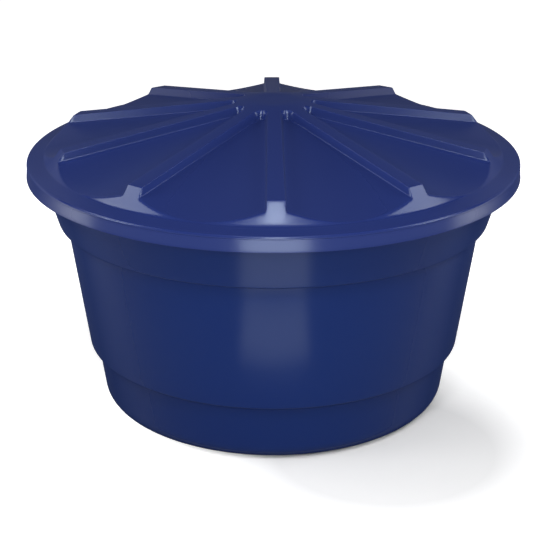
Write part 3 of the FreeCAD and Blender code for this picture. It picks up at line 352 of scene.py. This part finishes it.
def tank_columns():
    """Round the tank: (azimuth, sideways distance).

    Near a fitting a column keeps its distance from the flat's middle; elsewhere that distance is nothing.
    """
    plain = np.radians(np.arange(0, 360, COLUMN_TURN))
    turns = [np.abs((np.degrees(plain) - flat[0] + 180) % 360 - 180) for flat in FLATS.values()]
    clear = np.min(turns, axis=0) > FITTING_TURN
    columns = [np.stack([plain[clear], 0 * plain[clear]], axis=1)]
    for azimuth in sorted({flat[0] for flat in FLATS.values()}):
        halves = [flat[2] for flat in FLATS.values() if flat[0] == azimuth]
        sides = np.concatenate([[0.0, 12.0, 24.0]] + [np.array([-EDGE_GAP, EDGE_GAP]) + half for half in halves])
        sides = np.unique(np.concatenate([sides, -sides]))
        columns.append(np.stack([np.full(len(sides), radians(azimuth)), sides], axis=1))
    columns = np.concatenate(columns)
    mean_radius = 650.0
    order = np.argsort((columns[:, 0] + np.arcsin(columns[:, 1] / mean_radius)) % (2 * np.pi))
    return columns[order]


def with_flats(radius, height, columns, inset):
    """Carries a profile round the axis, cut back to the upright flats: radius = flat / cos(angle from its middle)."""
    azimuth = columns[None, :, 0] + np.arcsin(np.clip(columns[None, :, 1] / np.maximum(radius, 100), -1, 1))
    reach = np.broadcast_to(radius, azimuth.shape)
    for middle, level, half, distance in FLATS.values():
        angle = (azimuth - radians(middle) + np.pi) % (2 * np.pi) - np.pi
        across = radius * np.sin(angle)
        inside = (np.abs(across) < half + inset) & (np.abs(height - level) < half + inset) & (np.cos(angle) > 0)
        reach = np.where(inside, np.minimum(reach, (distance - inset) / np.cos(angle)), reach)
    return np.stack([reach * np.cos(azimuth), reach * np.sin(azimuth), np.broadcast_to(height, azimuth.shape)], -1)


def levels_added(line, inset):
    """The profile with a point just above and just below each flat's upper and lower edge."""
    levels = np.array([level + side * (half + inset) + gap for _, level, half, _ in FLATS.values()
                       for side in (-1, 1) for gap in (-EDGE_GAP, EDGE_GAP)])
    order = np.argsort(line[:, 1], kind="stable")
    extra = np.stack([np.interp(levels, line[order, 1], line[order, 0]), levels], axis=1)
    wall = line[:, 1] > BASE_ROUND + 1
    body = np.concatenate([line[wall], extra])
    body = body[np.argsort(body[:, 1])]
    return np.concatenate([line[~wall], body])


def wall_line(wall, height, inset):
    """Radius of a tapered wall at a height, moved inwards by the inset square to it."""
    return wall[0] + wall[1] * height - along_axis(wall[1], inset)


def steps(levels, inset, crease_round, step_round):
    """Corners of the two steps between the bands: each one's crease above, then the foot of the next band."""
    walls = (LOWER, MIDDLE, MIDDLE, UPPER)
    rounds = (crease_round, step_round, crease_round, step_round)
    return [(wall_line(wall, level, inset), level, size) for wall, level, size in zip(walls, levels, rounds)]


def tank_grid():
    """The whole tank: underside, three bands and the rim, then the inside back down to the floor."""
    outside = spaced(rounded([
        (AXIS_HOLE, 0.0, 0), (LOWER[0], 0.0, BASE_ROUND), *steps(LEVELS, 0, CREASE_ROUND, STEP_ROUND),
        (RIM_CREASE, cone(RIM_UNDER, RIM_CREASE), 0)], 9), 28.0)
    outside = levels_added(outside, 0.0)
    rim = spaced(rounded([
        (RIM_CREASE + 2, cone(RIM_UNDER, RIM_CREASE + 2), 0), (RIM_RADIUS, cone(RIM_UNDER, RIM_RADIUS), 1.0),
        (RIM_RADIUS, cone(RIM_TOP, RIM_RADIUS), 2.0), (BRIM, cone(RIM_TOP, BRIM), 0)], 4), 10.0)
    inside = spaced(rounded([
        (AXIS_HOLE, FLOOR_WALL, 0), (wall_line(LOWER, FLOOR_WALL, TANK_WALL), FLOOR_WALL, BASE_ROUND - TANK_WALL),
        *steps(INNER_LEVELS, TANK_WALL, CREASE_ROUND + TANK_WALL, STEP_ROUND - TANK_WALL),
        (BRIM - 0.3, cone(RIM_TOP, BRIM) - 1.0, 0)], 7), 40.0)
    inside = levels_added(inside, TANK_WALL)[::-1]
    columns = tank_columns()
    parts = [with_flats(line[:, :1], line[:, 1:], columns, inset)
             for line, inset in ((outside, 0.0), (rim, 0.0), (inside, TANK_WALL))]
    return np.concatenate(parts)


def turned(seat, line, flats=None, thread=None):
    """A ring turned about a fitting's axis from a closed line of (radius, distance out, cut to the nut's flats) rows.

    A row that is cut takes the hexagon's radius, flats / 2 / cos(angle from the nearest flat's middle), where that
    is less. A thread between two distances out lowers the radius by a wave of height that runs along a helix.
    """
    azimuth, height, _, distance = FLATS[seat]
    line = np.asarray(line, float)
    angle = np.radians(np.arange(0, 360, 5.0))[None, :]
    radius, out, cut = line.T[:, :, None]
    radius = np.broadcast_to(radius, (len(line), angle.shape[1]))
    if flats:
        hexagon = flats / 2 / np.cos((angle + np.pi / 6) % (np.pi / 3) - np.pi / 6)
        radius = np.where(cut > 0, np.minimum(radius, hexagon), radius)
    if thread:
        start, end, crest = thread
        wave = np.abs(2 * ((out / THREAD_PITCH - angle / (2 * np.pi)) % 1) - 1)
        fade = np.clip(np.minimum(out - start, end - out) / THREAD_PITCH, 0, 1)
        radius = np.where(radius > crest - HAIR, np.minimum(radius, crest - THREAD_DEPTH * wave * fade), radius)
    a = radians(azimuth)
    outward, side, up = (np.array(v) for v in ((cos(a), sin(a), 0), (-sin(a), cos(a), 0), (0, 0, 1)))
    middle = outward * distance + up * height
    return (middle + out[..., None] * outward + (radius * np.cos(angle))[..., None] * side
            + (radius * np.sin(angle))[..., None] * up)


def flange_rows(shank, bore, head):
    """Once round a flanged fitting from its outer end: the pipe's thread, the nut's, and the head inside the wall."""
    seat = -TANK_WALL - GASKET
    line = rounded([
        (bore, seat - HEAD + 4, 0), (bore, seat - HEAD, 0.8), (head, seat - HEAD, 1.5), (head, seat, 0.5),
        (shank + NUT_THREAD, seat, 0.3), (shank + NUT_THREAD, SHANK_STEP, 0.6), (shank, SHANK_STEP + HAIR, 0),
    ], 4)
    pipe = np.arange(SHANK_STEP + 0.4, SHANK - 0.9, THREAD_PITCH / 6)
    end = [(shank, SHANK - 0.8), (shank - 0.8, SHANK), (bore + 0.5, SHANK), (bore, SHANK - 0.5)]
    line = np.concatenate([line, np.stack([np.full(len(pipe), shank), pipe], axis=1), end])
    return np.column_stack([line, np.zeros(len(line))])[::-1]


def nut_rows(bore, washer, flats, base):
    """Once round a nut from its bore: the bevel that a turned blank leaves, six flats, and a washer face."""
    corner = flats / sqrt(3)
    top = base + NUT_HEIGHT
    cut = corner - flats / 2 + 0.6
    bevel = np.linspace(0, 1, 8)[:, None] * np.array([-cut, cut * 0.55])
    bevel = np.array([corner, top - bevel[-1, 1]]) + bevel
    low = base + (NUT_WASHER if washer else 0.0)
    face = [(bore + 0.8, base, 0)]
    if washer:
        face += [(washer - 0.6, base, 0), (washer, base + 0.6, 0), (washer, low, 0)]
    sides = [(flats / 2 - 0.4, low, 1), (corner, low + HAIR, 1)] + [(radius, out, 1) for radius, out in bevel]
    return (face + sides + [(bore + 0.8, top, 0), (bore, top - 0.8, 0), (bore, base + 0.8, 0)])[::-1]


def cap_rows():
    """The drain's cap from the middle of its end: a rounded six-sided grip, its mouth, and the hollow inside."""
    bore = PIPES["drain"][0] + THREAD_GAP
    grip = 2 * (bore + CAP_WALL)
    corner = grip / sqrt(3)
    outer = spaced(rounded([
        (CAP_POLE, CAP_END, 0), (corner, CAP_END, CAP_ROUND), (corner, CAP_MOUTH, 0.8),
        (PIPES["drain"][0] + 1.2, CAP_MOUTH, 0)], 7), 3.0)
    ceiling = CAP_END - CAP_WALL
    hollow = rounded([(bore, CAP_MOUTH + 1.2, 0), (bore, ceiling, 0.8), (CAP_POLE, ceiling, 0)], 4)
    line = np.concatenate([outer, hollow])
    cut = np.concatenate([np.ones(len(outer)), np.zeros(len(hollow))])
    return np.column_stack([line, cut]), grip


# ---------------------------------------------------------------- finishes

def node_group(name, inputs, outputs):
    """An empty shader node group with named inputs (name, kind, value) and outputs (name, kind)."""
    group = bpy.data.node_groups.new(name, "ShaderNodeTree")
    for label, kind, value in inputs:
        socket = group.interface.new_socket(label, in_out="INPUT", socket_type=kind)
        if value is not None:
            socket.default_value = value
    for label, kind in outputs:
        group.interface.new_socket(label, in_out="OUTPUT", socket_type=kind)
    return group, group.nodes.new("NodeGroupInput"), group.nodes.new("NodeGroupOutput")


def add(tree, kind, links=(), **values):
    """A node whose sockets are linked or set by name or number."""
    node = tree.nodes.new(kind)
    for key, value in values.items():
        setattr(node, key, value)
    for socket, source in links:
        if hasattr(source, "links"):
            tree.links.new(source, node.inputs[socket])
        else:
            node.inputs[socket].default_value = source
    return node


def moulded_skin():
    """The skin of a moulded piece: faint clouding of its colour, uneven gloss and a fine peel."""
    group, given, out = node_group("moulded_skin", [
        ("Vector", "NodeSocketVector", None), ("Colour", "NodeSocketColor", (0.02, 0.03, 0.12, 1)),
        ("Bloom", "NodeSocketColor", (0.05, 0.06, 0.16, 1)), ("Clouding", "NodeSocketFloat", 0.2),
        ("Roughness", "NodeSocketFloat", 0.35), ("Unevenness", "NodeSocketFloat", 0.05),
        ("Peel scale", "NodeSocketFloat", 260.0)],
        [("Colour", "NodeSocketColor"), ("Roughness", "NodeSocketFloat"), ("Height", "NodeSocketFloat")])
    cloud = add(group, "ShaderNodeTexNoise", [("Vector", given.outputs["Vector"]), ("Scale", 2.2), ("Detail", 4.0)])
    spread = add(group, "ShaderNodeMapRange", [("Value", cloud.outputs["Fac"]), ("From Min", 0.35),
                                               ("From Max", 0.7)])
    amount = add(group, "ShaderNodeMath", [(0, spread.outputs["Result"]), (1, given.outputs["Clouding"])],
                 operation="MULTIPLY")
    tint = add(group, "ShaderNodeMix", data_type="RGBA")
    group.links.new(amount.outputs[0], tint.inputs[0])
    group.links.new(given.outputs["Colour"], tint.inputs[6])
    group.links.new(given.outputs["Bloom"], tint.inputs[7])
    smear = add(group, "ShaderNodeTexNoise", [("Vector", given.outputs["Vector"]), ("Scale", 9.0), ("Detail", 3.0)])
    centred = add(group, "ShaderNodeMath", [(0, smear.outputs["Fac"]), (1, 0.5)], operation="SUBTRACT")
    rough = add(group, "ShaderNodeMath", [(0, centred.outputs[0]), (1, given.outputs["Unevenness"]),
                                          (2, given.outputs["Roughness"])], operation="MULTIPLY_ADD")
    peel = add(group, "ShaderNodeTexNoise", [("Vector", given.outputs["Vector"]),
                                             ("Scale", given.outputs["Peel scale"]), ("Detail", 2.0)])
    group.links.new(tint.outputs[2], out.inputs["Colour"])
    group.links.new(rough.outputs[0], out.inputs["Roughness"])
    group.links.new(peel.outputs["Fac"], out.inputs["Height"])
    return group


SKIN = moulded_skin()
SLANT_BLEND = 0.35
SLANT = (0.32, 0.60)               # facing at which the gloss starts to spread, and has spread out
SPREAD_ROUGHNESS = 1.0


def srgb(*values):
    """A colour written as it shows, 0 to 255, turned into the linear values that shaders take."""
    shown = np.array(values) / 255.0
    linear = np.where(shown <= 0.04045, shown / 12.92, ((shown + 0.055) / 1.055) ** 2.4)
    return (*linear.tolist(), 1.0)


def skinned(name, colour, bloom, clouding, roughness, unevenness, peel_scale, peel, depth):
    """A material whose colour, gloss and peel come from the skin group, with its shader and the group's node."""
    material = bpy.data.materials.new(name)
    material.use_nodes = True
    tree = material.node_tree
    shader = tree.nodes["Principled BSDF"]
    place = add(tree, "ShaderNodeTexCoord")
    skin = add(tree, "ShaderNodeGroup", node_tree=SKIN)
    for label, value in (("Colour", colour), ("Bloom", bloom), ("Clouding", clouding), ("Roughness", roughness),
                         ("Unevenness", unevenness), ("Peel scale", peel_scale)):
        skin.inputs[label].default_value = value
    tree.links.new(place.outputs["Object"], skin.inputs["Vector"])
    bump = add(tree, "ShaderNodeBump", [("Strength", peel), ("Distance", depth), ("Height", skin.outputs["Height"])])
    tree.links.new(skin.outputs["Colour"], shader.inputs["Base Color"])
    tree.links.new(skin.outputs["Roughness"], shader.inputs["Roughness"])
    tree.links.new(bump.outputs["Normal"], shader.inputs["Normal"])
    return material, shader, skin


def plastic(name, colour, bloom, roughness, peel=0.12, peel_scale=260.0, tint=(1.0, 1.0, 1.0)):
    """A moulded plastic; where it is seen at a slant its gloss spreads out."""
    material, shader, skin = skinned(name, colour, bloom, clouding=0.2, roughness=roughness, unevenness=0.06,
                                     peel_scale=peel_scale, peel=peel, depth=0.0006)
    tree = material.node_tree
    edge = add(tree, "ShaderNodeLayerWeight", [("Blend", SLANT_BLEND)])
    slant = add(tree, "ShaderNodeMapRange", [("Value", edge.outputs["Facing"]), ("From Min", SLANT[0]),
                                             ("From Max", SLANT[1])])
    spread = add(tree, "ShaderNodeMix", [(0, slant.outputs[0]), (2, skin.outputs["Roughness"]), (3, SPREAD_ROUGHNESS)],
                 data_type="FLOAT")
    tree.links.new(spread.outputs[0], shader.inputs["Roughness"])
    shader.inputs["Specular Tint"].default_value = (*tint, 1.0)
    return material


def metal(name, colour, dull, roughness):
    """Turned or cast metal: its colour dulls in patches and its gloss is uneven."""
    material, shader, skin = skinned(name, colour, dull, clouding=0.6, roughness=roughness, unevenness=0.2,
                                     peel_scale=900.0, peel=0.15, depth=0.0002)
    shader.inputs["Metallic"].default_value = 1.0
    return material


BLUE_GLOSS = (0.38, 0.444, 0.536)  # the gloss of the two blue plastics is dim and bluish
LID_BLUE = plastic("lid_polyethylene", srgb(28, 40, 91), srgb(34, 46, 97), 0.21, peel=0.05, tint=BLUE_GLOSS)
TANK_BLUE = plastic("tank_polyethylene", srgb(14, 34, 86), srgb(20, 40, 92), 0.21, peel=0.05, tint=BLUE_GLOSS)
FITTING_BLACK = plastic("fitting_polypropylene", srgb(30, 31, 33), srgb(52, 53, 55), 0.42, peel_scale=700.0)
CAP_BLACK = plastic("cap_polypropylene", srgb(24, 25, 27), srgb(48, 48, 50), 0.38, peel_scale=700.0)
RUBBER = plastic("gasket_rubber", srgb(22, 22, 22), srgb(44, 43, 42), 0.75, peel_scale=1200.0)
FLOAT_ORANGE = plastic("float_plastic", srgb(214, 84, 28), srgb(228, 112, 52), 0.3, peel_scale=400.0)
BRASS = metal("brass", srgb(196, 158, 88), srgb(150, 116, 66), 0.3)
STEEL = metal("pin_steel", srgb(176, 176, 174), srgb(140, 140, 138), 0.28)
FINISH = {"tank_plastic": TANK_BLUE, "lid_plastic": LID_BLUE, "fitting_plastic": FITTING_BLACK,
          "cap_plastic": CAP_BLACK, "gasket_rubber": RUBBER, "brass": BRASS, "pin_steel": STEEL,
          "float_plastic": FLOAT_ORANGE}


def dress(piece, material):
    """Gives a piece one material and no other."""
    piece.data.materials.clear()
    piece.data.materials.append(material)


lid = put_mesh("lid_moulding", lid_grid(), [(0, 0, HUB_HEIGHT), (0, 0, HUB_HEIGHT - LID_WALL)], "lid")
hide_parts("lid_shell")
dress(lid, LID_BLUE)
tank = put_mesh("tank_moulding", tank_grid()[::-1], [(0, 0, FLOOR_WALL), (0, 0, 0)], "tank")
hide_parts("tank_shell")
dress(tank, TANK_BLUE)
for seat, (shank, bore, head, flats) in PIPES.items():
    skin = turned(seat, flange_rows(shank, bore, head), thread=(SHANK_STEP, SHANK, shank))
    fitting = put_mesh(seat + "_threaded_flange", skin, [], "tank")
    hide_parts(seat + "_flange")
    dress(fitting, FITTING_BLACK)
    skin = turned(seat, nut_rows(shank + NUT_THREAD + THREAD_GAP, head, flats, 0.0), flats)
    nut = put_mesh(seat + "_bevelled_nut", skin, [], "tank")
    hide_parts(seat + "_nut")
    dress(nut, FITTING_BLACK)
shank, flats = INLET_NUT
skin = turned("inlet", nut_rows(shank + NUT_THREAD + THREAD_GAP, 0, flats, GASKET), flats)
nut = put_mesh("inlet_bevelled_nut", skin, [], "tank")
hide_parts("inlet_nut")
dress(nut, BRASS)
rows, grip = cap_rows()
ends = turned("drain", [(0, CAP_END, 0), (0, CAP_END - CAP_WALL, 0)])[:, 0]
cap = put_mesh("drain_cap_moulding", turned("drain", rows, grip), ends, "cap")
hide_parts("drain_cap")
dress(cap, CAP_BLACK)
REPLACED = {"lid_shell", "tank_shell", "inlet_nut", "drain_cap"} | {
    f"{seat}_{piece}" for seat in PIPES for piece in ("flange", "nut")}
for part in frame["record"]["subparts"]:
    if part["node"] not in REPLACED:
        dress(frame["nodes"][part["node"]], FINISH[part["material_slot"]])


# ---------------------------------------------------------------- floor, light and camera

def background_rays(tree):
    """One for camera, glossy and transmission rays, which show the background, and nothing for the rest."""
    path = add(tree, "ShaderNodeLightPath")
    seen = add(tree, "ShaderNodeMath", [(0, path.outputs["Is Camera Ray"]), (1, path.outputs["Is Glossy Ray"])],
               operation="MAXIMUM")
    return add(tree, "ShaderNodeMath", [(0, seen.outputs[0]), (1, path.outputs["Is Transmission Ray"])],
               operation="MAXIMUM").outputs[0]


FLOOR_SEEN = 0.68                  # brightness of the floor as the camera sees it
FLOOR_MIRRORED = 0.3               # as the tank's gloss shows it
FLOOR_PLAIN = 0.1                  # to every other ray, so in the light that it throws up on the tank
# the floor's glow round a middle point: how far it stays low, where it is white, and how low it is. The front and back
# patches are painted shade: there the floor is darker because its glow is low, on top of the tank's real shadow
FRONT_PAINTED_SHADE = ((0.35, -0.5, 0), 0.35, 0.85, 0.03)
BACK_PAINTED_SHADE = ((0, 0.5, 0), 0.45, 0.85, 0.03)
MIRRORED_GLOW = ((0, 0, 0), 2.6, 5.0, 0.0)


def floor_finish():
    """White to the camera and far off in reflections, less the soft shadow that the tank throws on it and a painted
    shade round the tank.

    To those rays the floor adds a glow to its own lit colour. The glow is low in a patch to the front right of the
    tank and in one behind it, and full white further out, so the floor there is darker by painted shade as well as by
    the real shadow; where two patches meet the darker one counts.
    """
    material = bpy.data.materials.new("floor_white")
    material.use_nodes = True
    tree = material.node_tree
    shader = tree.nodes["Principled BSDF"]
    shader.inputs["Roughness"].default_value = 1.0
    shader.inputs["Specular IOR Level"].default_value = 0.0
    shader.inputs["Emission Color"].default_value = (1, 1, 1, 1)
    place = add(tree, "ShaderNodeTexCoord")
    path = add(tree, "ShaderNodeLightPath")
    glows = []
    for middle, start, end, low in (FRONT_PAINTED_SHADE, BACK_PAINTED_SHADE, MIRRORED_GLOW):
        away = add(tree, "ShaderNodeVectorMath", [(0, place.outputs["Object"]), (1, middle)], operation="DISTANCE")
        glows.append(add(tree, "ShaderNodeMapRange", [
            ("Value", away.outputs["Value"]), ("From Min", start), ("From Max", end), ("To Min", low),
            ("To Max", 1.0)]).outputs["Result"])
    front, back, mirrored = glows
    # painted shade: the glow that the camera sees, dimmed in the front and back patches near the tank
    seen = add(tree, "ShaderNodeMath", [(0, front), (1, back)], operation="MINIMUM")
    glow = add(tree, "ShaderNodeMix", [(0, path.outputs["Is Camera Ray"]), (2, mirrored), (3, seen.outputs[0])],
               data_type="FLOAT")
    tree.links.new(glow.outputs[0], shader.inputs["Emission Strength"])
    ground = add(tree, "ShaderNodeMix", [(0, path.outputs["Is Camera Ray"]), (2, FLOOR_MIRRORED), (3, FLOOR_SEEN)],
                 data_type="FLOAT")
    tree.links.new(ground.outputs[0], shader.inputs["Base Color"])
    plain = add(tree, "ShaderNodeBsdfDiffuse", [("Color", (FLOOR_PLAIN, FLOOR_PLAIN, FLOOR_PLAIN, 1))])
    mix = add(tree, "ShaderNodeMixShader", [(0, background_rays(tree)), (1, plain.outputs[0]), (2, shader.outputs[0])])
    tree.links.new(mix.outputs[0], tree.nodes["Material Output"].inputs["Surface"])
    return material


floor_mesh = bpy.data.meshes.new("floor")
FLOOR_REACH = 30.0
floor_mesh.from_pydata([(x * FLOOR_REACH, y * FLOOR_REACH, 0) for x, y in ((-1, -1), (1, -1), (1, 1), (-1, 1))], [],
                       [(0, 1, 2, 3)])
floor = bpy.data.objects.new("floor", floor_mesh)
bpy.context.scene.collection.objects.link(floor)
dress(floor, floor_finish())


CEILING = 0.05                     # strength of the background high up
# how high the white background reaches, as the sine of its elevation: seen, and mirrored
SEEN_WHITE = (0.2, 0.5)
MIRRORED_WHITE = (-0.02, 0.12)


def world_light():
    """No light of its own; the background is white from the floor up to the height of the tank and dims above it."""
    world = bpy.data.worlds.new("studio")
    bpy.context.scene.world = world
    world.use_nodes = True
    tree = world.node_tree
    back = tree.nodes["Background"]
    place = add(tree, "ShaderNodeTexCoord")
    parts = add(tree, "ShaderNodeSeparateXYZ", [(0, place.outputs["Generated"])])
    path = add(tree, "ShaderNodeLightPath")
    seen, mirrored = (add(tree, "ShaderNodeMapRange", [
        ("Value", parts.outputs["Z"]), ("From Min", low), ("From Max", high), ("To Min", 1.0), ("To Max", CEILING)],
        interpolation_type="SMOOTHSTEP") for low, high in (SEEN_WHITE, MIRRORED_WHITE))
    shown = add(tree, "ShaderNodeMix", [(0, path.outputs["Is Camera Ray"]), (2, mirrored.outputs["Result"]),
                                        (3, seen.outputs["Result"])], data_type="FLOAT")
    strength = add(tree, "ShaderNodeMath", [(0, background_rays(tree)), (1, shown.outputs[0])], operation="MULTIPLY")
    tree.links.new(strength.outputs[0], back.inputs["Strength"])
    back.inputs["Color"].default_value = (1, 1, 1, 1)


def aim(piece, target, roll=0.0):
    """Turns a lamp or camera so that it looks along its line to the target."""
    line = Vector(target) - Vector(piece.location)
    turn = line.to_track_quat("-Z", "Y")
    piece.rotation_mode = "QUATERNION"
    piece.rotation_quaternion = turn @ Quaternion((0, 0, 1), roll)


def lamp(name, spot, target, size, power):
    """A rectangular soft light that faces its target."""
    data = bpy.data.lights.new(name, "AREA")
    data.shape = "RECTANGLE"
    data.size, data.size_y = size
    data.energy = power
    piece = bpy.data.objects.new(name, data)
    piece.location = spot
    piece.visible_camera = False
    aim(piece, target)
    bpy.context.scene.collection.objects.link(piece)


TANK_MIDDLE = (0, 0, 0.75)
LAMPS = {  # azimuth from the front, distance from the axis, height, width, length, power
    "front_strip": (0, 2.38, 2.89, 0.5, 0.6, 33),
    "front_high": (0, 1.88, 3.34, 1.35, 0.6, 19),
    "front_slit": (0, 3.04, 1.74, 0.4, 1.3, 38),
    "front_low": (0, 3.17, 0.35, 1.45, 0.52, 28),
    "left_high": (-77, 2.59, 2.63, 1.8, 0.9, 35),
    "right_high": (73, 2.59, 2.63, 1.6, 0.9, 32),
    "left_low": (-94, 2.9, 0.3, 1.7, 0.5, 8.5),
    "right_low": (92, 2.9, 0.3, 1.7, 0.5, 7.5),
    "left_mid": (-65, 2.9, 1.3, 0.8, 0.6, 26),
    "right_mid": (65, 2.9, 1.3, 0.8, 0.6, 23),
    "back_left": (-145, 3.17, 1.2, 1.2, 0.9, 12),
    "back_right": (145, 3.17, 1.2, 1.2, 0.9, 12),
    "back_low": (180, 2.9, 0.4, 1.6, 0.5, 24)}

world_light()
for name, (turn, away, rise, width, length, power) in LAMPS.items():
    lamp(name, (away * sin(radians(turn)), -away * cos(radians(turn)), rise), TANK_MIDDLE, (width, length), power)
lamp("above", (0, 0, 4.2), TANK_MIDDLE, (1.6, 1.6), 6)
lamp("front_card", (0, -1.12, 0.03), (0, -0.4, 1.2), (0.56, 0.36), 1.15)

camera_data = bpy.data.cameras.new("camera")
camera_data.lens = 100.55
camera_data.sensor_width = 36.0
camera = bpy.data.objects.new("camera", camera_data)
camera.location = (-0.0506, -4.9377, 2.3617)
yaw, pitch, roll = radians(0.845), radians(21.848), radians(0.169)
look = (camera.location[0] + sin(yaw) * cos(pitch), camera.location[1] + cos(yaw) * cos(pitch),
        camera.location[2] - sin(pitch))
aim(camera, look, roll)
bpy.context.scene.collection.objects.link(camera)
bpy.context.scene.camera = camera
bpy.context.scene.view_settings.view_transform = "Standard"
